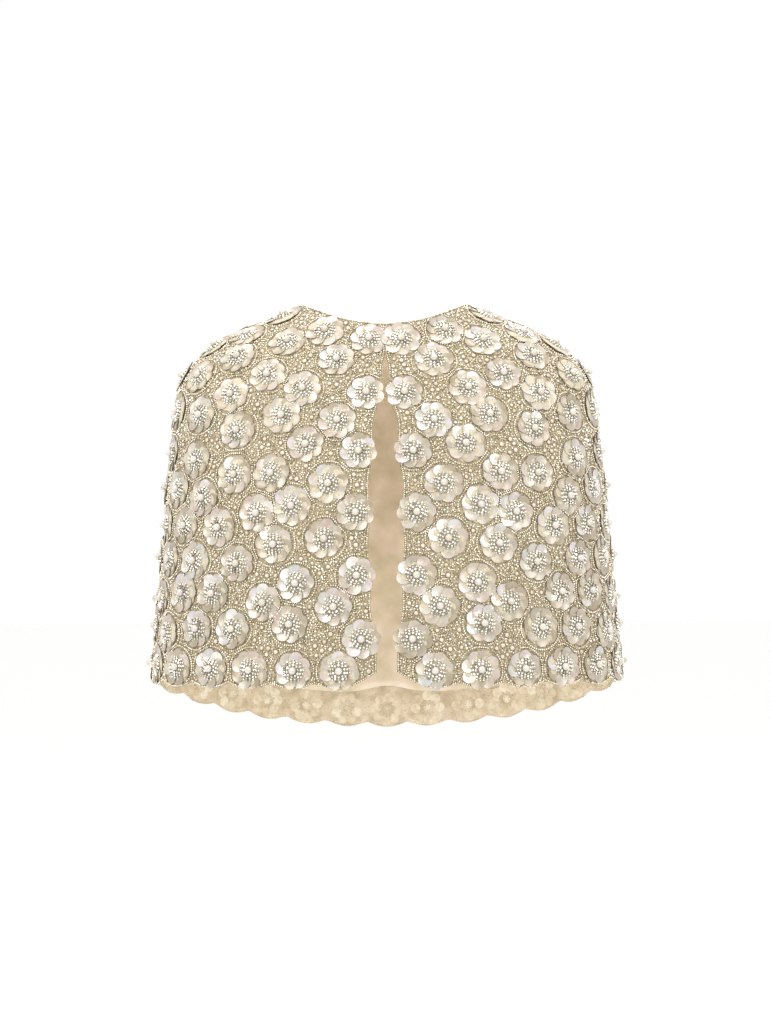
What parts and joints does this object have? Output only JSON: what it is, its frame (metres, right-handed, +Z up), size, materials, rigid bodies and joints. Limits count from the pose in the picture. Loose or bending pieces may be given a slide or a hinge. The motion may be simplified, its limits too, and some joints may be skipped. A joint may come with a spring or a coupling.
{
  "type": "beaded capelet",
  "caption": "Armless evening capelet in worn form, flower-beaded fronts that meet at the neck above a curved slit, and a longer scalloped back with a plain lining.",
  "frame": {"origin": "middle of the neck opening, at the height where the cloth rests on the shoulders", "axes": "+X towards the wearer's left, -Y out of the front with the slit, +Z up"},
  "size_m": [0.5081, 0.3273, 0.4647],
  "materials": {
    "beaded_cloth": "champagne tulle under pearl sequin flowers, crystals and seed beads",
    "lining_cloth": "soft nude lining, matte with a faint mottle",
    "clasp_metal": "plated wire"
  },
  "bodies": {
    "root": {"front_left": "beaded_cloth", "front_right": "beaded_cloth", "back": "beaded_cloth", "back_lining": "lining_cloth", "neck_hook": "clasp_metal", "neck_eye": "clasp_metal"}
  },
  "joints": []
}
